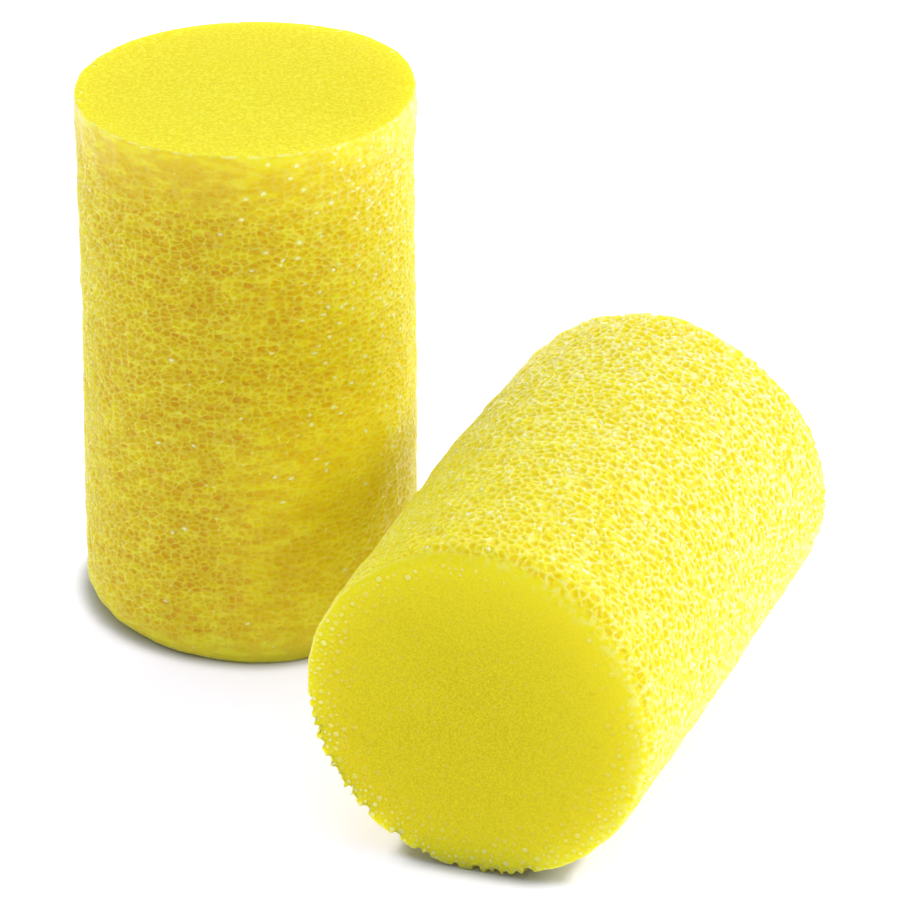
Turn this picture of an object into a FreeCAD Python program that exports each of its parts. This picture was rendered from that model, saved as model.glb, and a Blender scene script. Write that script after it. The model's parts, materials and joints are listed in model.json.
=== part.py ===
"""A pair of loose foam ear plugs, in millimetres.

One plug stands on its end and the other lies on its side in front of it. The origin is the centre
of the standing plug's lower end, +Z is up along that plug, and +Y points away from the viewer.
"""
import FreeCAD, Part
import math
import os

# Driving dimensions
PLUG_DIAMETER = 12.7    # die-cut barrel, before it is rolled down
PLUG_LENGTH = 20.6      # thickness of the foam sheet that the plugs are cut from
RIM_ROUND = 0.2         # how far the cut edge rolls over where the barrel meets an end

# Where the loose plug lies beside the standing one
LYING_TURN = 20.0       # degrees its length is turned from +Y towards +X
SIDE_GAP = 2.86         # clear gap between the two barrels
FAR_END_REACH = 2.85    # how far its far end passes the standing plug's centre, along its length

UP = FreeCAD.Vector(0, 0, 1)


def plug(end_centre, direction):
    """One plug: a round barrel with softly rolled rims, from the centre of one end."""
    barrel = Part.makeCylinder(PLUG_DIAMETER / 2, PLUG_LENGTH, end_centre, direction)
    rims = [edge for edge in barrel.Edges if isinstance(edge.Curve, Part.Circle)]
    return barrel.makeFillet(RIM_ROUND, rims)


def standing_plug():
    return plug(FreeCAD.Vector(0, 0, 0), UP)


def lying_plug():
    """The loose plug rests along its barrel, so its axis is one radius above the floor."""
    radius = PLUG_DIAMETER / 2
    turn = math.radians(LYING_TURN)
    along = FreeCAD.Vector(math.sin(turn), math.cos(turn), 0)
    across = FreeCAD.Vector(math.cos(turn), -math.sin(turn), 0)
    beside = across * (radius + SIDE_GAP + radius)
    near_end = beside + along * (FAR_END_REACH - PLUG_LENGTH) + UP * radius
    return plug(near_end, along)


PARTS = {
    "standing_plug": standing_plug,
    "lying_plug": lying_plug,
}

os.makedirs("parts", exist_ok=True)
for node, make in PARTS.items():
    make().exportStep(f"parts/{node}.step")
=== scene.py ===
"""A pair of loose foam ear plugs: one stands on its end, the other lies on its side in front of it.

Each plug is one closed mesh: an open-cell barrel, with every cut cell a real pit, between two smooth
skinned ends. Lengths are in metres; the plugs' sizes and places come from the frame.
"""
import json
import math

import bpy
import numpy as np
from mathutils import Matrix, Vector


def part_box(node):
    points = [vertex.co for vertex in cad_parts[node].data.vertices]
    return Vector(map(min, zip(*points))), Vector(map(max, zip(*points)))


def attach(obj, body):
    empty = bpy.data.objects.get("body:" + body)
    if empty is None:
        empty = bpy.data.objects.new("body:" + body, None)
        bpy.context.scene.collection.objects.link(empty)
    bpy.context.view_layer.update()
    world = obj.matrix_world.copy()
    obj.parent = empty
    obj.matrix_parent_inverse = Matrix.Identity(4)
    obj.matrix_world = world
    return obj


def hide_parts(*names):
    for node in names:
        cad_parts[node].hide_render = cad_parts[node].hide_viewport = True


MM = 0.001

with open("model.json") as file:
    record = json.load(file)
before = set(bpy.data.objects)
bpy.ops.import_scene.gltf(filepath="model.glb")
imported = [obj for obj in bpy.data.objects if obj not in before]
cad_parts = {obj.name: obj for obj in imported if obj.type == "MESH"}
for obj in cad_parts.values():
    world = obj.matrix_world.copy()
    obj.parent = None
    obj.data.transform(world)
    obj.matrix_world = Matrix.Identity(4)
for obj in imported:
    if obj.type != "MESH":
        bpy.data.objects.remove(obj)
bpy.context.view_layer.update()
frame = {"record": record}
mounts = {m["name"]: m for m in frame["record"]["mounts"]}

# The plugs' size, from the standing one
plug_low, plug_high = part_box("standing_plug")
RADIUS = (plug_high.x - plug_low.x) / 2
LENGTH = plug_high.z - plug_low.z

# Mesh fineness
AROUND = 896                # points round the barrel, halved as an end's rings shrink
STEP = 0.046 * MM           # spacing of the barrel's rings
RIM_STEP = 0.05 * MM        # spacing of an end's rings in the band beside its rim
FACE_STEP = 0.14 * MM       # and inside that band
RIM_BAND = 2.0 * MM
RIM_ROUND = 0.06 * MM       # the least that a cut edge rolls over
RIM_STEPS = 3

# Cut foam cells
CELL_WIDTH = 0.33 * MM
# the lengths below are in cell widths, unless they say MM
LEAST_PIT = 0.10            # shallowest pit
SHAKE = 0.86                # how far a bubble may grow from its grid place
UNEVEN = 0.32               # most that one bubble outgrows another, squared
SOFT = 0.06                 # how far two walls blend where they meet
CROOKED = 0.13              # how far a wall wanders
CROOKED_SIZE = 0.17 * MM    # and over what length
FILM_EDGE, FILM_MIDDLE = 0.34, 0.20     # where a film over a cell's mouth thins out
BEAD_HEIGHT = 0.07
WINDOW_DEPTH = 0.12
WINDOWED = 0.4              # share of cells with a window in the back wall

# Bubbles cut beside the rims
RIM_TRIES = 9000            # places tried on each end
FURTHEST_IN = 3 * MM

# Unevenness of the foam: how high, and how far across
SLOW_SWAY, MOST_SWAY = 0.06 * MM, 0.03 * MM
BUMPS = ((0.045 * MM, 0.5 * MM), (0.04 * MM, 1.3 * MM))


# ---------------------------------------------------------------- foam, as numbers


def smooth_step(low, high, x):
    t = np.clip((x - low) / (high - low), 0, 1)
    return t * t * (3 - 2 * t)


def hashed(cell, seed):
    """A repeatable number from 0 to 1 for each whole-numbered cell."""
    x = cell[..., 0].astype(np.uint32) * np.uint32(73856093)
    x ^= cell[..., 1].astype(np.uint32) * np.uint32(19349663)
    x ^= cell[..., 2].astype(np.uint32) * np.uint32(83492791)
    x ^= np.uint32(seed * 2654435761 % 2**32)
    for shift, factor in ((16, 2246822519), (13, 3266489917)):
        x ^= x >> np.uint32(shift)
        x *= np.uint32(factor)
    x ^= x >> np.uint32(16)
    return x.astype(np.float64) / 2**32


def lumps(points, size, seed):
    """Smooth random lumps from -1 to 1, about size across."""
    here = np.floor(points / size).astype(np.int64)
    t = points / size - here
    t = t * t * (3 - 2 * t)
    total = np.zeros(len(points))
    for corner in np.ndindex(2, 2, 2):
        share = np.where(np.array(corner) == 1, t, 1 - t).prod(1)
        total += share * (2 * hashed(here + np.array(corner), seed) - 1)
    return total


def bubble_centres(cell, seed):
    """Where each cell's bubble grew, in cell widths: its own grid place, shaken at random."""
    shake = np.stack([hashed(cell, seed + k) for k in range(3)], -1)
    return cell + 0.5 + SHAKE * (shake - 0.5)


def bubble_sizes(cell, seed):
    """How far each bubble outgrew its neighbours, as a squared length in cell widths."""
    return UNEVEN * hashed(cell, seed + 3)


NEIGHBOURS = [np.array((i, j, k)) for i in (-1, 0, 1) for j in (-1, 0, 1) for k in (-1, 0, 1)]


def nearest_bubble(places, seed):
    """For each place, in cell widths, the grid cell of the bubble that holds it and how far off its
    middle is."""
    here = np.floor(places).astype(np.int64)
    best = np.full(len(places), np.inf)
    cell = here.copy()
    for step in NEIGHBOURS:
        near = here + step
        gap = ((places - bubble_centres(near, seed)) ** 2).sum(1) - bubble_sizes(near, seed)
        closer = gap < best
        best[closer] = gap[closer]
        cell[closer] = near[closer]
    return cell, np.sqrt(((places - bubble_centres(cell, seed)) ** 2).sum(1))


def cut_cells(points, inward, size, seed):
    """How the foam's cells meet a cut surface, in cell widths: how far along the surface the nearest
    walls are, how far off the cell's middle is, the way straight in to its back wall and to the wall
    past that, and the cell itself."""
    crooked = np.stack([lumps(points, CROOKED_SIZE, seed + 20 + k) for k in range(3)], 1)
    places, way_in = points / size + CROOKED * crooked, inward / size
    way_in = way_in / np.linalg.norm(way_in, axis=1)[:, None]
    cell, _ = nearest_bubble(places, seed)
    middle, grown = bubble_centres(cell, seed), bubble_sizes(cell, seed)
    from_middle = places - middle
    walls = np.zeros(len(points))
    back = np.full(len(points), np.inf)
    past = np.full(len(points), np.inf)
    for step in NEIGHBOURS:
        if not step.any():
            continue
        other = cell + step
        across = bubble_centres(other, seed) - middle
        length = np.sqrt((across**2).sum(1))
        across /= length[:, None]
        gap = length / 2 - (across * from_middle).sum(1)
        gap += (grown - bubble_sizes(other, seed)) / (2 * length)
        speed = (across * way_in).sum(1)
        walls += np.exp(-gap / np.sqrt(np.maximum(1 - speed**2, 0.02)) / SOFT)
        way = np.where(speed > 0.02, gap / np.maximum(speed, 0.02), np.inf)
        past = np.where(way < back, back, np.minimum(past, way))
        back = np.minimum(back, way)
    off = np.linalg.norm(np.cross(from_middle, way_in), axis=1)
    return -SOFT * np.log(walls), off, back, past, cell


# ---------------------------------------------------------------- one plug


def ring_layout():
    """The plug's rings from the middle of one end to the middle of the other: radius, height, count
    and the outward slope of the surface there."""
    flat = RADIUS - RIM_ROUND
    inner = flat - RIM_BAND
    coarse, fine = round(inner / FACE_STEP), round(RIM_BAND / RIM_STEP)
    radii = [inner * k / coarse for k in range(1, coarse)]
    radii += [inner + RIM_BAND * k / fine for k in range(fine)]
    counts = []
    for r in reversed(radii):
        count = counts[-1] if counts else AROUND
        step = FACE_STEP if r < inner else RIM_STEP
        if 2 * math.pi * r / count < 0.6 * step and count > 14:
            count //= 2
        counts.append(count)
    end = [(r, 0.0, n, math.pi / 2) for r, n in zip(radii, reversed(counts))]
    for k in range(RIM_STEPS + 1):
        a = math.pi / 2 * (1 - k / RIM_STEPS)
        end.append((flat + RIM_ROUND * math.cos(a), RIM_ROUND * (1 - math.sin(a)), AROUND, a))
    barrel = []
    steps = round((LENGTH - 2 * RIM_ROUND) / STEP)
    for k in range(1, steps):
        barrel.append((RADIUS, RIM_ROUND + (LENGTH - 2 * RIM_ROUND) * k / steps, AROUND, 0.0))
    lower = [(r, z, n, -a) for r, z, n, a in end]
    upper = [(r, LENGTH - z, n, a) for r, z, n, a in reversed(end)]
    return lower + barrel + upper


def plug_shape():
    """Points, outward directions and faces of a smooth plug, with each face corner's ring and turn."""
    rings = ring_layout()
    points, normals = [np.zeros((1, 3))], [np.array([[0.0, 0.0, -1.0]])]
    starts = []
    at = 1
    for r, z, n, slope in rings:
        turn = 2 * math.pi * np.arange(n) / n
        points.append(np.stack([r * np.cos(turn), r * np.sin(turn), np.full(n, z)], 1))
        out = math.cos(slope)
        normals.append(np.stack([out * np.cos(turn), out * np.sin(turn), np.full(n, math.sin(slope))], 1))
        starts.append(at)
        at += n
    points.append(np.array([[0.0, 0.0, LENGTH]]))
    normals.append(np.array([[0.0, 0.0, 1.0]]))
    quads, triangles = [], []

    def corner(k, i):
        """One corner: its point, its ring, and how far round it is, which reaches 1 at the seam."""
        n = rings[k][2]
        return starts[k] + i % n, np.full_like(i, k), i / n

    for k in range(len(rings) - 1):
        a, b = rings[k][2], rings[k + 1][2]
        i = np.arange(min(a, b))
        if a == b:
            quads.append([corner(k, i), corner(k, i + 1), corner(k + 1, i + 1), corner(k + 1, i)])
        elif a < b:
            triangles.append([corner(k, i), corner(k + 1, 2 * i + 1), corner(k + 1, 2 * i)])
            triangles.append([corner(k, i), corner(k, i + 1), corner(k + 1, 2 * i + 1)])
            triangles.append([corner(k, i + 1), corner(k + 1, 2 * i + 2), corner(k + 1, 2 * i + 1)])
        else:
            triangles.append([corner(k, 2 * i), corner(k, 2 * i + 1), corner(k + 1, i)])
            triangles.append([corner(k, 2 * i + 1), corner(k + 1, i + 1), corner(k + 1, i)])
            triangles.append([corner(k, 2 * i + 1), corner(k, 2 * i + 2), corner(k + 1, i + 1)])
    last = len(rings) - 1
    for k, pole in ((0, 0), (last, at)):
        i = np.arange(rings[k][2])
        middle = (np.full_like(i, pole), np.full_like(i, k), (i + 0.5) / rings[k][2])
        ring = [corner(k, i), corner(k, i + 1)]
        triangles.append([middle, ring[1], ring[0]] if k == 0 else [middle, ring[0], ring[1]])
    faces = []
    for kind in (quads, triangles):
        index = np.concatenate([np.stack([c[0] for c in f], 1) for f in kind])
        ring = np.concatenate([np.stack([c[1] for c in f], 1) for f in kind])
        turn = np.concatenate([np.stack([c[2] for c in f], 1) for f in kind])
        faces.append((index, ring, turn))
    return np.concatenate(points), np.concatenate(normals), faces, rings


def round_about(turn, degrees, sharpness=1.0):
    """1 at one side of the plug, falling smoothly to 0 at the other."""
    return (0.5 + 0.5 * np.cos(turn - math.radians(degrees))) ** sharpness


def roll_rims(points, normals, roll):
    """Rolls the cut edges over, to the radius roll(turn, top)."""
    turn = np.arctan2(points[:, 1], points[:, 0])
    out = np.hypot(points[:, 0], points[:, 1])
    top = points[:, 2] > LENGTH / 2
    radius = roll(turn, top)
    from_side, from_end = RADIUS - out, np.where(top, LENGTH - points[:, 2], points[:, 2])
    barrel = from_side < from_end
    along = np.where(barrel, from_end, from_side)
    angle = math.pi / 4 * (1 - np.clip(along / radius, 0, 1))
    sunk, along_arc = radius * (1 - np.cos(angle)), radius * (1 - np.sin(angle))
    rolled = (along < radius) & (radius > RIM_ROUND)
    from_side = np.where(rolled, np.where(barrel, sunk, along_arc), from_side)
    from_end = np.where(rolled, np.where(barrel, along_arc, sunk), from_end)
    flat = np.where(barrel, np.cos(angle), np.sin(angle))
    steep = np.where(barrel, np.sin(angle), np.cos(angle)) * np.where(top, 1, -1)
    ring = np.stack([np.cos(turn), np.sin(turn)], 1)
    height = np.where(top, LENGTH - from_end, from_end)
    moved = np.column_stack([ring * (RADIUS - from_side)[:, None], height])
    moved[out < 1e-9] = points[out < 1e-9]
    facing = np.where(rolled[:, None], np.column_stack([ring * flat[:, None], steep]), normals)
    return moved, facing, along


def sway(points, seed, most):
    """A slow unevenness of the barrel and the ends, as soft foam has, still at the axis."""
    rng = np.random.default_rng(seed)
    turn = np.arctan2(points[:, 1], points[:, 0])
    up = points[:, 2] / LENGTH
    total = np.zeros(len(points))
    for k in range(1, 7):
        for m in range(0, 4):
            a, b = rng.uniform(0, 2 * math.pi, 2)
            size = rng.normal() / (1 + 0.6 * k + 0.6 * m)
            total += size * np.cos(k * turn + a) * np.cos(math.pi * m * up + b)
    from_axis = smooth_step(0.0, 0.6 * RADIUS, np.hypot(points[:, 0], points[:, 1]))
    return most * from_axis * total / np.abs(total).max()


def grab(points, place, reach, move):
    """Pulls the foam near place along with move, as a hand does. All in millimetres."""
    gap = ((points - np.array(place) * MM) ** 2).sum(1) / (reach * MM) ** 2
    points += np.exp(-gap)[:, None] * np.array(move) * MM


def rim_bubbles(seed, crowd, bites):
    """Bubbles that the cut went through beside each rim: centre, radius, paleness and stretch.
    crowd(turn, top) is how thickly they lie and how far in they reach. bites are the stretches of
    rim, as turns in degrees, where bubbles on the very edge bit it."""
    rng = np.random.default_rng(seed)
    found = np.zeros((0, 6))

    def add(turn, back, top, sink, size, pale, stretch):
        nonlocal found
        r = RADIUS - back
        height = LENGTH - sink if top else sink
        new = np.array((r * math.cos(turn), r * math.sin(turn), height, size, pale, stretch))
        gap = np.sqrt(((found[:, :3] - new[:3]) ** 2).sum(1))
        if (gap > 0.85 * (found[:, 3] + size)).all():
            found = np.vstack([found, new])

    for top, first, last, count in bites:
        for k in range(count):
            size = rng.uniform(0.11, 0.20) * MM
            turn = math.radians(rng.uniform(first, last))
            add(turn, rng.uniform(0.0, 0.5) * size, top, 0.0, size, 0.3, 2.5)
    for top in (False, True):
        for k in range(RIM_TRIES):
            turn = rng.uniform(0, 2 * math.pi)
            thick, reach = crowd(turn, top)
            back = 0.06 * MM + rng.exponential(reach) * MM
            size = (0.10 + 0.10 * rng.uniform() ** 2) * MM
            if rng.uniform() < thick and back < FURTHEST_IN:
                pale = rng.uniform(0.3, 1.0) * math.exp(-back / (1.0 * MM))
                add(turn, back, top, -0.70 * size, size, pale, 1.0)
    return found


def carve(points, inward, bubbles):
    """How far each point goes in to leave the bubbles that hold it, and how pale a bubble makes it,
    below 0 in the ring round one."""
    depth = np.zeros(len(points))
    shade = np.zeros(len(points))
    reach = 1.1 * MM
    near = np.where((points[:, 2] < reach) | (points[:, 2] > LENGTH - reach))[0]
    least = RADIUS - 3.2 * MM
    near = near[np.hypot(points[near, 0], points[near, 1]) > least]
    order = near[np.argsort(np.arctan2(points[near, 1], points[near, 0]))]
    turns = np.arctan2(points[order, 1], points[order, 0])
    for x, y, z, size, pale, stretch in bubbles:
        turn = math.atan2(y, x)
        span = 1.5 * size / least
        for shift in (-2 * math.pi, 0, 2 * math.pi):
            first, last = np.searchsorted(turns, (turn + shift - span, turn + shift + span))
            some = order[first:last]
            if not len(some):
                continue
            squeeze = np.array((1, 1, 1 / stretch))
            away = (points[some] - np.array((x, y, z))) * squeeze
            gap = np.sqrt((away**2).sum(1)) / size
            ring = smooth_step(0.9, 1.0, gap) * smooth_step(1.35, 1.1, gap)
            value = smooth_step(1.0, 0.85, gap) - 0.5 * ring
            stronger = np.abs(value * pale) > np.abs(shade[some])
            shade[some[stronger]] = (value * pale)[stronger]
            held = gap < 1
            some, away = some[held], away[held]
            course = inward[some] * squeeze
            pace = (course**2).sum(1)
            along = (away * course).sum(1)
            chord = (-along + np.sqrt(along**2 + pace * (size**2 - (away**2).sum(1)))) / pace
            depth[some] = np.maximum(depth[some], chord)
    return depth, shade


def foam_plug(name, seed, shape, place):
    """A plug as one closed mesh, put in its place by place(points). shape says what sets it apart."""
    points, normals, faces, rings = plug_shape()
    points, normals, along = roll_rims(points, normals, shape["roll"])
    on_barrel = smooth_step(0.3, 0.9, np.hypot(normals[:, 0], normals[:, 1]))
    inward = -normals
    from_end = np.minimum(points[:, 2], LENGTH - points[:, 2])

    # cut cells of the barrel
    side = np.where(on_barrel > 0)[0]
    depth = np.zeros(len(points))
    tone = np.full(len(points), 0.5)
    glint_bead = np.zeros(len(points))
    ring_in = inward[side] * np.array((1, 1, 0))
    ring_in /= np.linalg.norm(ring_in, axis=1)[:, None]
    wall, off, back, past, cell = cut_cells(points[side], ring_in, shape["cell"], seed)
    open_cell = smooth_step(0.25 * shape["wall"], shape["wall"], wall)
    open_cell *= shape["open"](points[side])
    way = np.clip(back, LEAST_PIT, shape["deepest"])
    # some back walls have a window into the next cell
    window = smooth_step(0.25, 0.6, past - back) * (hashed(cell, seed + 9) < WINDOWED)
    way += WINDOW_DEPTH * window
    patch = hashed(np.floor(points[side] / CELL_WIDTH).astype(np.int64), seed + 7)
    glint_filmed = hashed(cell, seed + 11) < shape["glint_films"](points[side])
    glint_film = smooth_step(FILM_EDGE, FILM_MIDDLE, off) * glint_filmed * (on_barrel[side] > 0.9)
    # where several walls meet, some have a glossy bead, painted pale as a glint, as are the whole films
    glint_beaded = smooth_step(-0.025, -0.05, wall) * (patch < shape["glint_beads"])
    glint_bead[side] = np.maximum(glint_beaded, glint_film)
    open_cell *= 1 - glint_film
    firm = 0.15 + 0.85 * smooth_step(0.1 * MM, shape["firm"](points[side]) * MM, from_end[side])
    depth[side] = (open_cell * way * firm - BEAD_HEIGHT * glint_bead[side]) * on_barrel[side] * CELL_WIDTH
    pit = np.zeros(len(points))
    pit[side] = open_cell * way * firm**0.75 * on_barrel[side] / shape["deepest"]
    tone[side] = hashed(cell, seed + 5)

    # bubbles cut beside the rims
    bitten, shade = carve(points, inward, rim_bubbles(seed, shape["crowd"], shape["bites"]))
    depth = np.maximum(depth, bitten)
    shade *= 1 - 0.7 * on_barrel

    slow = np.minimum(sway(points, seed + 40, SLOW_SWAY), MOST_SWAY)
    bumpy = sum(high * lumps(points, across, seed + 60 + k) for k, (high, across) in enumerate(BUMPS))
    moved = points + inward * (depth - slow - bumpy * on_barrel)[:, None]
    for spot, reach, move in shape["grabs"]:
        grab(moved, spot, reach, move)
    mesh = mesh_of(name, place(moved), faces, rings)
    for label, values in (
        ("pit", pit),
        ("grain", 0.35 + shape["grain"] * (1 - on_barrel)),
        # painted shade, from the amber shade attribute
        ("amber_shade", shape["amber_shade"](points)),
        ("skin", (1 - on_barrel) * (1 - shape["blend"](points) * smooth_step(1.0 * MM, 0.0, along))),
        # pale: painted sheen and highlights frosting the walls
        ("pale", shape["pale"](points)),
        # skin lift, with painted glow on the lying plug
        ("skin_lift_and_glow", shape["skin_lift_and_glow"](points)),
        ("tone", tone),
        # the glossy beads and whole films, painted pale as glints
        ("glint_bead", glint_bead),
        ("bubble", shade),
        # a painted highlight along the rims
        ("edge", shape["rim_highlight"](points) * smooth_step(0.09 * MM, 0.02 * MM, along)),
    ):
        attribute = mesh.attributes.new(label, "FLOAT", "POINT")
        attribute.data.foreach_set("value", values.astype(np.float32))
    plug = bpy.data.objects.new(name, mesh)
    bpy.context.scene.collection.objects.link(plug)
    return plug


def mesh_of(name, points, faces, rings):
    """A mesh with a map of the unrolled barrel above the two ends."""
    mesh = bpy.data.meshes.new(name)
    mesh.vertices.add(len(points))
    mesh.vertices.foreach_set("co", points.astype(np.float32).ravel())
    sizes = np.concatenate([np.full(len(f[0]), f[0].shape[1]) for f in faces])
    mesh.loops.add(int(sizes.sum()))
    mesh.loops.foreach_set("vertex_index", np.concatenate([f[0].ravel() for f in faces]).astype(np.int32))
    mesh.polygons.add(len(sizes))
    starts = np.concatenate([[0], np.cumsum(sizes)[:-1]]).astype(np.int32)
    mesh.polygons.foreach_set("loop_start", starts)
    mesh.polygons.foreach_set("use_smooth", np.ones(len(sizes), bool))
    slope = np.array([r[3] for r in rings])
    skinned = np.concatenate([np.abs(slope[f[1]]).min(1) > 1.5 for f in faces])
    mesh.polygons.foreach_set("material_index", skinned.astype(np.int32))
    mesh.update(calc_edges=True)

    radius = np.array([r[0] for r in rings])
    height = np.array([r[1] for r in rings])
    scale = 0.98 / (2 * math.pi * RADIUS)
    maps = []
    for index, ring, turn in faces:
        low = slope[ring].min(1, keepdims=True) < -0.8
        high = slope[ring].max(1, keepdims=True) > 0.8
        pole = (index == 0) | (index == len(points) - 1)
        r = np.where(pole, 0.0, radius[ring])
        side_u, side_v = 0.01 + 0.98 * turn, 0.40 + scale * height[ring]
        angle = 2 * math.pi * turn
        middle = 0.01 + scale * RADIUS * np.where(high, 3.3, 1.05)
        end_u = middle + scale * r * np.cos(angle)
        end_v = 0.02 + scale * RADIUS * 1.05 + scale * r * np.sin(angle)
        ends = low | high
        maps.append(np.stack([np.where(ends, end_u, side_u), np.where(ends, end_v, side_v)], -1))
    layer = mesh.uv_layers.new(name="OFBake")
    flat = np.concatenate([m.reshape(-1, 2) for m in maps])
    layer.data.foreach_set("uv", flat.astype(np.float32).ravel())
    mesh.validate()
    return mesh


# ---------------------------------------------------------------- material


def foam_material(name, shine, sheen):
    """Lemon foam: pale cut walls over deeper orange pits on the barrel, a fine even skin on the ends. The
    pits' orange and its streaks are painted shade; the frost, beads, films and rim line are painted
    highlights.
    """
    material = bpy.data.materials.new(name)
    material.use_nodes = True
    nodes, links = material.node_tree.nodes, material.node_tree.links
    shader = nodes["Principled BSDF"]

    def node(kind, **settings):
        made = nodes.new(kind)
        for key, value in settings.items():
            setattr(made, key, value)
        return made

    def attribute(label):
        return node("ShaderNodeAttribute", attribute_name=label).outputs["Fac"]

    def noise(scale_mm, detail=2.0, squash=1.0):
        made = node("ShaderNodeTexNoise")
        made.inputs["Scale"].default_value = 1 / (scale_mm * MM)
        made.inputs["Detail"].default_value = detail
        spread = node("ShaderNodeVectorMath", operation="MULTIPLY")
        spread.inputs[1].default_value = (1, 1, squash)
        links.new(where.outputs["Object"], spread.inputs[0])
        links.new(spread.outputs[0], made.inputs["Vector"])
        return made.outputs["Fac"]

    def cells(scale_mm, feature):
        made = node("ShaderNodeTexVoronoi", feature=feature)
        made.inputs["Scale"].default_value = 1 / (scale_mm * MM)
        links.new(where.outputs["Object"], made.inputs["Vector"])
        return made.outputs["Distance"]

    def times(first, second):
        made = node("ShaderNodeMath", operation="MULTIPLY")
        links.new(first, made.inputs[0])
        links.new(second, made.inputs[1])
        return made.outputs[0]

    def ramp(source, low, high, start, end):
        made = node("ShaderNodeMapRange", interpolation_type="SMOOTHSTEP")
        links.new(source, made.inputs["Value"])
        for label, value in (("From Min", low), ("From Max", high), ("To Min", start), ("To Max", end)):
            made.inputs[label].default_value = value
        return made.outputs["Result"]

    def mix(share, first, second, kind="RGBA"):
        made = node("ShaderNodeMix", data_type=kind)
        sockets = (0, 6, 7) if kind == "RGBA" else (0, 2, 3)
        for label, value in zip(sockets, (share, first, second)):
            if isinstance(value, bpy.types.NodeSocket):
                links.new(value, made.inputs[label])
            elif isinstance(value, tuple):
                made.inputs[label].default_value = (*value, 1)
            else:
                made.inputs[label].default_value = value
        return made.outputs[2 if kind == "RGBA" else 0]

    where = node("ShaderNodeTexCoord")
    pit, skin, glint_bead, bubble = attribute("pit"), attribute("skin"), attribute("glint_bead"), attribute("bubble")

    walls = mix(ramp(noise(1.6), 0.35, 0.65, 0, 1), (0.87, 0.77, 0.015), (0.91, 0.83, 0.032))
    # Painted shade: where the amber shade attribute is high, the walls darken to orange in streaks and the
    # pits deepen
    shaded_streaks = times(attribute("amber_shade"), ramp(noise(1.1, 2.0, 3.0), 0.38, 0.60, 0.30, 1))
    walls = mix(ramp(shaded_streaks, 0.0, 1.0, 0.05, 0.75), walls, (0.77, 0.565, 0.008))
    amber_shade = times(shaded_streaks, ramp(attribute("tone"), 0.0, 1.0, 0.45, 1))
    # Painted shade: the pits' deeper orange stands in for light bouncing about inside each pit
    pit_shade = mix(amber_shade, (0.87, 0.72, 0.012), (0.77, 0.42, 0.008))
    further_in = ramp(cells(0.21, "DISTANCE_TO_EDGE"), 0.03, 0.20, 0.45, 0)
    pit_shade = mix(further_in, pit_shade, walls)
    # Painted sheen and highlights: the pale attribute frosts the walls where the light falls
    painted_sheen = times(attribute("pale"), ramp(noise(0.22), 0.42, 0.62, 0, 1))
    walls = mix(painted_sheen, walls, (0.95, 0.92, 0.42))
    # the walls turn to the painted pit shade as the pit deepens
    barrel = mix(ramp(pit, 0.02, 0.85, 0, 1), walls, pit_shade)
    # Painted glints: the glossy beads and whole films are near white
    barrel = mix(glint_bead, barrel, (0.98, 0.955, 0.40))
    grain = mix(ramp(noise(0.07), 0.3, 0.7, 0, 1), (0.68, 0.575, 0.013), (0.83, 0.725, 0.021))
    face = mix(ramp(cells(0.33, "F1"), 0.10, 0.32, 0.45, 0), grain, (0.82, 0.64, 0.10))
    # Skin lift: even on the standing plug, and painted glow towards the lying plug's rims
    face = mix(attribute("skin_lift_and_glow"), face, (0.93, 0.83, 0.026))
    speckled = times(ramp(attribute("grain"), 0.35, 1.25, 0, 1), ramp(noise(0.13, 3.0), 0.44, 0.62, 0, 0.6))
    face = mix(speckled, face, (0.92, 0.87, 0.07))
    face = mix(ramp(bubble, 0.0, 0.7, 0, 1), face, (0.93, 0.89, 0.40))
    face = mix(ramp(bubble, -0.6, 0.0, 1, 0), face, (0.62, 0.52, 0.008))
    foam = mix(skin, barrel, face)
    # Painted highlight: a thin pale line along the rims, broken up by noise
    rim_highlight = mix(attribute("edge"), 0.0, ramp(noise(0.3, 1.0), 0.42, 0.60, 0.05, 0.9), "FLOAT")
    links.new(mix(rim_highlight, foam, (0.94, 0.91, 0.50)), shader.inputs["Base Color"])

    rough = mix(glint_bead, 0.27, 0.12, "FLOAT")
    links.new(mix(skin, rough, 0.6, "FLOAT"), shader.inputs["Roughness"])
    links.new(mix(glint_bead, 0.0, 0.5, "FLOAT"), shader.inputs["Coat Weight"])
    shader.inputs["Coat Roughness"].default_value = 0.12

    bump = node("ShaderNodeBump")
    links.new(attribute("grain"), bump.inputs["Strength"])
    bump.inputs["Distance"].default_value = 0.02 * MM
    links.new(noise(0.07, 3.0), bump.inputs["Height"])
    links.new(bump.outputs["Normal"], shader.inputs["Normal"])

    shader.inputs["Subsurface Weight"].default_value = 0.85
    shader.inputs["Subsurface Radius"].default_value = (1.0, 0.80, 0.15)
    shader.inputs["Subsurface Scale"].default_value = 2.0 * MM
    shader.inputs["Sheen Weight"].default_value = sheen
    shader.inputs["Sheen Roughness"].default_value = 0.35
    shader.inputs["Sheen Tint"].default_value = (1.0, 0.97, 0.72, 1)
    shader.inputs["Specular IOR Level"].default_value = shine
    return material


# ---------------------------------------------------------------- stage


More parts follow.
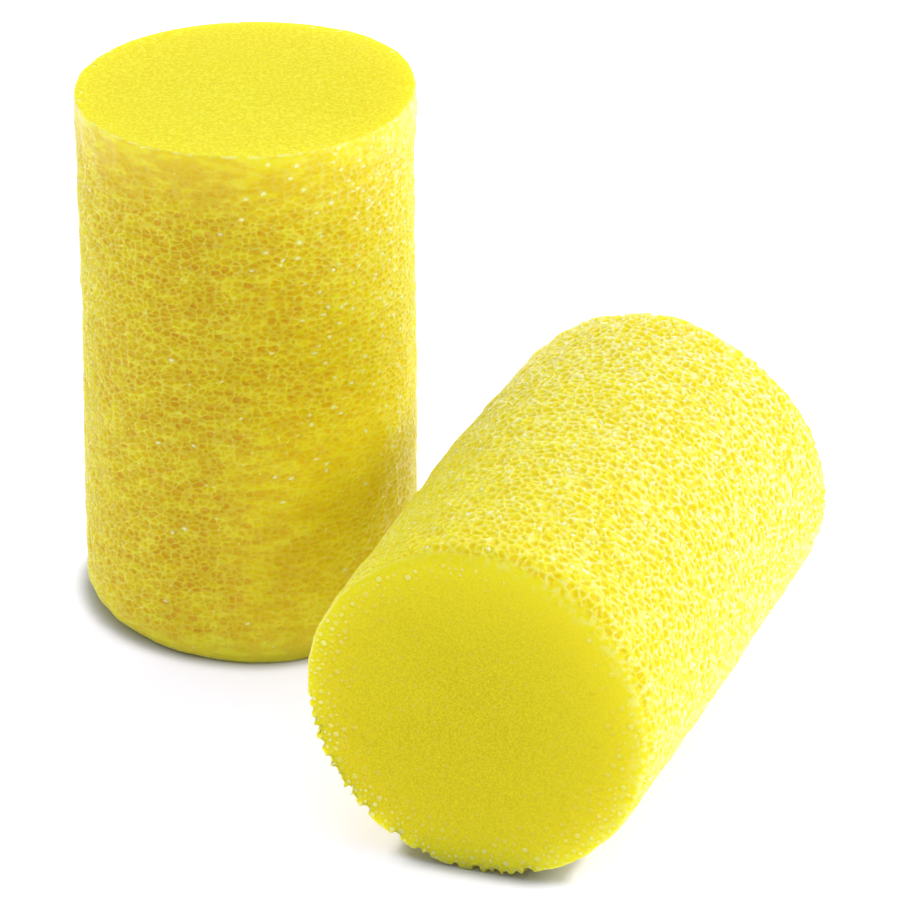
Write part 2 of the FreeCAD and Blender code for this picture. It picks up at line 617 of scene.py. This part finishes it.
def floor_material():
    """A white light table: it glows a little, but not where a plug lies close above or beside it, where it
    also turns grey-blue: a painted contact shadow.
    """
    material = bpy.data.materials.new("white_table")
    material.use_nodes = True
    nodes, links = material.node_tree.nodes, material.node_tree.links
    shader = nodes["Principled BSDF"]
    crevice = nodes.new("ShaderNodeAmbientOcclusion")
    crevice.samples = 8
    crevice.inputs["Distance"].default_value = 0.95 * MM
    # Painted contact shadow: the glow fades out where a plug is close
    shadowed_glow = nodes.new("ShaderNodeMapRange")
    shadowed_glow.interpolation_type = "SMOOTHSTEP"
    links.new(crevice.outputs["AO"], shadowed_glow.inputs["Value"])
    shadowed_glow.inputs["From Min"].default_value = 0.50
    shadowed_glow.inputs["From Max"].default_value = 0.97
    shadowed_glow.inputs["To Max"].default_value = 0.42
    links.new(shadowed_glow.outputs["Result"], shader.inputs["Emission Strength"])
    shader.inputs["Emission Color"].default_value = (1, 1, 1.25, 1)
    # Painted contact shadow: the table's colour turns grey-blue where a plug is close
    contact_shadow_tint = nodes.new("ShaderNodeMapRange")
    contact_shadow_tint.data_type = "FLOAT_VECTOR"
    links.new(crevice.outputs["AO"], contact_shadow_tint.inputs["Vector"])
    from_low, from_high, to_low, to_high = range(7, 11)
    contact_shadow_tint.inputs[from_low].default_value = (0.50, 0.50, 0.50)
    contact_shadow_tint.inputs[from_high].default_value = (0.97, 0.97, 0.97)
    contact_shadow_tint.inputs[to_low].default_value = (0.56, 0.59, 0.66)
    contact_shadow_tint.inputs[to_high].default_value = (0.84, 0.86, 0.98)
    links.new(contact_shadow_tint.outputs["Vector"], shader.inputs["Base Color"])
    shader.inputs["Roughness"].default_value = 0.9
    shader.inputs["Specular IOR Level"].default_value = 0.1
    return material


def build_floor():
    bpy.ops.object.select_all(action="DESELECT")
    bpy.ops.mesh.primitive_plane_add(size=6.0, location=(0, 0, 0))
    table = bpy.context.object
    table.name = "table_top"
    table.data.materials.append(floor_material())


def softbox(name, place, target, size, power, colour=(1, 1, 1)):
    data = bpy.data.lights.new(name, "AREA")
    data.shape = "DISK"
    data.size = size
    data.energy = power
    data.color = colour
    lamp = bpy.data.objects.new(name, data)
    lamp.location = place
    lamp.rotation_euler = (Vector(target) - Vector(place)).to_track_quat("-Z", "Y").to_euler()
    lamp.visible_camera = False
    bpy.context.scene.collection.objects.link(lamp)


def build_lights():
    """A white tent, brightest behind and along its foot, with three softboxes."""
    world = bpy.data.worlds.new("white_tent")
    bpy.context.scene.world = world
    world.use_nodes = True
    nodes, links = world.node_tree.nodes, world.node_tree.links
    nodes["Background"].inputs["Color"].default_value = (1, 1, 1, 1)
    towards = nodes.new("ShaderNodeTexCoord")
    parts = nodes.new("ShaderNodeSeparateXYZ")
    links.new(towards.outputs["Generated"], parts.inputs[0])
    glow = nodes.new("ShaderNodeMapRange")
    glow.interpolation_type = "SMOOTHSTEP"
    links.new(parts.outputs["Y"], glow.inputs["Value"])
    for label, value in (("From Min", 0.0), ("From Max", 0.8), ("To Min", 0.38), ("To Max", 1.50)):
        glow.inputs[label].default_value = value
    upward = nodes.new("ShaderNodeMath")
    upward.operation = "ABSOLUTE"
    links.new(parts.outputs["Z"], upward.inputs[0])
    horizon = nodes.new("ShaderNodeMapRange")
    horizon.interpolation_type = "SMOOTHSTEP"
    links.new(upward.outputs[0], horizon.inputs["Value"])
    for label, value in (("From Min", 0.06), ("From Max", 0.12), ("To Min", 0.95), ("To Max", 0.0)):
        horizon.inputs[label].default_value = value
    brighter = nodes.new("ShaderNodeMath")
    brighter.operation = "MAXIMUM"
    links.new(glow.outputs["Result"], brighter.inputs[0])
    links.new(horizon.outputs["Result"], brighter.inputs[1])
    links.new(brighter.outputs[0], nodes["Background"].inputs["Strength"])
    middle = (0.008, -0.008, 0.008)
    softbox("key_right", (0.36, -0.09, 0.26), middle, 0.14, 0.82, (1.0, 1.01, 0.98))
    softbox("overhead", (0.0, -0.05, 0.45), middle, 0.40, 0.36)
    softbox("fill_left", (-0.35, 0.05, 0.12), middle, 0.20, 0.10)


def build_camera():
    """A long lens from the front, a little to the right and above."""
    pitch = math.radians(26.6)
    right, back, up = 0.60, 16.07, 8.49     # from the standing plug's foot, in plug widths
    data = bpy.data.cameras.new("camera")
    data.sensor_width = 36.0
    data.lens = 239.4
    data.clip_start = 0.01
    camera = bpy.data.objects.new("camera", data)
    camera.location = Vector((right, -back, up)) * 2 * RADIUS
    camera.rotation_euler = (math.pi / 2 - pitch, 0, 0)
    bpy.context.scene.collection.objects.link(camera)
    bpy.context.scene.camera = camera


# ---------------------------------------------------------------- the set


def standing_roll(turn, top):
    """The standing plug's upper edge is crisp, and its foot is rounder, most at the left."""
    return np.where(top, 0.10, 0.15 + 0.80 * round_about(turn, 200, 6)) * MM


def turn_of(points):
    return np.arctan2(points[:, 1], points[:, 0])


def standing_crowd(turn, top):
    return 0.002, 0.3


def standing_glint_films(points):
    """The share of cells whose glossy film is left whole, painted pale as a glint: most at the lit right,
    near the top.
    """
    high_up = smooth_step(6 * MM, 10 * MM, points[:, 2])
    high_up += 1.3 * smooth_step(13 * MM, 19 * MM, points[:, 2])
    return 0.002 + 0.075 * round_about(turn_of(points), 325, 7) * high_up


def standing_painted_sheen(points):
    """How much of the walls is frosted, as painted sheen and highlights: most at the lit upper right, a
    little at the left edge.
    """
    left, right = round_about(turn_of(points), 180, 3), round_about(turn_of(points), 350, 4)
    middle = smooth_step(6 * MM, 10 * MM, points[:, 2])
    top = smooth_step(13 * MM, 19 * MM, points[:, 2])
    return 0.02 + 0.08 * left + right * (0.10 * middle + 0.30 * top)


# Painted rim highlight, even all round both rims.
def standing_rim_highlight(points):
    return 0.5


def standing_blend(points):
    return 0.0


# An even lift of the skin's colour on both ends.
def standing_skin_lift(points):
    return np.full(len(points), 0.3)


def standing_open(points):
    """How open the cells are cut: hardly, low down at the right."""
    low_down = smooth_step(12 * MM, 7 * MM, points[:, 2])
    return 1 - 0.5 * low_down * smooth_step(0.5, 0.85, round_about(turn_of(points), 330, 1))


def standing_firm(points):
    """How far from an end the cells are back to their full depth, in mm."""
    return np.where(points[:, 2] > LENGTH / 2, 4.0, 1.6)


def standing_painted_shade(points):
    """How deep a colour the pits take, as painted shade: deepest at the front, a little left of the middle,
    away from the key light, and least at the lit right.
    """
    turn = turn_of(points)
    return np.clip(0.40 + 0.60 * round_about(turn, 252, 2) - 0.30 * round_about(turn, 328, 4), 0, 1)


def lying_roll(turn, top):
    """The lying plug's near edge is crisp where the bubbles bit it and soft at the upper right."""
    return np.where(top, 0.40, 0.07 + 0.85 * round_about(turn, 60, 2)) * MM


def lying_crowd(turn, top):
    """The near end's lower rim is full of cut bubbles, packed at the left and spread at the right."""
    if top:
        return 0.03, 0.4
    left, right = round_about(turn, 205, 1.5), round_about(turn, 310, 6)
    return float(max(0.05, left, 0.9 * right)), 0.35 + 0.75 * float(right)


def lying_firm(points):
    """As standing_firm: the cells come closest to the near end at the upper right."""
    return 0.7 - 0.4 * round_about(turn_of(points), 50, 1)


def lying_open(points):
    return 1.0


# Painted shade: the pits and walls turn a deeper orange towards the underside.
def lying_painted_shade(points):
    return 0.05 + 0.4 * round_about(turn_of(points), 240, 1)


# The share of cells whose glossy film is left whole, painted pale as a glint: most at the lit upper right.
def lying_glint_films(points):
    return 0.01 + 0.07 * round_about(turn_of(points), 50, 3)


def lying_painted_sheen(points):
    """Painted sheen and highlights: frosted most at the upper right towards the far end, and at the right
    of the near end.
    """
    up = points[:, 2] / LENGTH
    right, upper = round_about(turn_of(points), 0, 2), round_about(turn_of(points), 45, 0.7)
    return 0.55 * (1 - up) * right + (0.08 + 0.95 * up) * upper


# Painted rim highlight along the rims, strongest round one side.
def lying_rim_highlight(points):
    return 0.35 * round_about(turn_of(points), 190, 2)


def lying_painted_glow(points):
    """Painted glow: the near end's skin is brighter towards its rim, most at the right, standing in for
    light coming through the foam from the lit barrel.
    """
    out = np.hypot(points[:, 0], points[:, 1]) / RADIUS
    return out**2 * (0.30 + 0.70 * round_about(turn_of(points), 35, 1))


def lying_blend(points):
    """The near end's skin fades into the cut foam along its upper rim."""
    return 0.85 * round_about(turn_of(points), 45, 1) * (points[:, 2] < LENGTH / 2)


STANDING = {
    "roll": standing_roll,
    "rim_highlight": standing_rim_highlight,
    "glint_films": standing_glint_films,
    "pale": standing_painted_sheen,
    "blend": standing_blend,
    "skin_lift_and_glow": standing_skin_lift,
    "crowd": standing_crowd,
    "cell": np.array([0.33, 0.33, 0.22]) * MM,
    "deepest": 0.29,
    "firm": standing_firm,
    "open": standing_open,
    "wall": 0.21,              # how far a cut wall slopes to each side, in cell widths
    "grain": 0.9,
    "amber_shade": standing_painted_shade,
    "glint_beads": 0.12,
    "bites": [(False, 190, 260, 6)],
    "grabs": [
        ((4.6, 3.6, 20.6), 4.0, (0.08, 0.04, 0.24)),    # the top stands up a little at the right
        ((1.0, -6.3, 0.0), 4.5, (0.0, -0.42, 0.0)),     # the foot spreads at the front
        ((-6.3, 0.0, 13.0), 5.0, (0.10, 0.0, 0.0)),     # a slight waist
        ((6.3, 0.0, 15.5), 4.0, (-0.10, 0.0, 0.0)),
    ],
}
LYING = {
    "roll": lying_roll,
    "rim_highlight": lying_rim_highlight,
    "glint_films": lying_glint_films,
    "pale": lying_painted_sheen,
    "blend": lying_blend,
    "skin_lift_and_glow": lying_painted_glow,
    "crowd": lying_crowd,
    "cell": np.array([0.31, 0.31, 0.34]) * MM,
    "deepest": 0.39,
    "firm": lying_firm,
    "open": lying_open,
    "wall": 0.22,
    "grain": 0.0,
    "amber_shade": lying_painted_shade,
    "glint_beads": 0.3,
    "bites": [(False, 183, 250, 20), (False, 250, 290, 12), (True, 0, 360, 30)],
    "grabs": [
        ((-4.5, 4.5, 12.0), 7.5, (-0.12, 0.14, 0.0)),   # fuller along the middle
        ((4.5, -4.5, 10.0), 7.5, (0.18, -0.04, 0.0)),
        ((6.3, -1.0, 20.6), 5.0, (0.16, 0.0, 0.05)),    # the far end leans right
        ((3.5, 5.2, 20.6), 3.0, (-0.10, -0.12, 0.0)),
    ],
}


def stand(points):
    """Leaves the plug on its end, with its foot pressed flat on the table."""
    points[:, 2] = np.maximum(points[:, 2], 0)
    return points


def lie(points):
    """Turns the plug's own length into the lying plug's, near end first, and presses it on the table."""
    mount = mounts["lying_barrel"]
    along = -np.array(mount["axis"])
    along /= np.linalg.norm(along)
    across = np.cross(along, (0, 0, 1))
    up = np.array((0, 0, 1.0))
    middle = np.array(mount["pos_m"])
    local = points - np.array((0, 0, LENGTH / 2))
    moved = middle + local @ np.array((across, up, along))
    moved[:, 2] = np.maximum(moved[:, 2], 0)
    return moved


build_camera()
build_lights()
build_floor()

foams = [foam_material("cut_foam", 0.22, 0.04), foam_material("foam_skin", 0.03, 0.0)]
for node_name, seed, shape, place in (
    ("standing_plug", 3, STANDING, stand),
    ("lying_plug", 11, LYING, lie),
):
    piece = foam_plug(node_name.replace("plug", "foam"), seed, shape, place)
    for foam in foams:
        piece.data.materials.append(foam)
    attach(piece, node_name)
    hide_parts(node_name)

scene = bpy.context.scene
scene.view_settings.view_transform = "Standard"
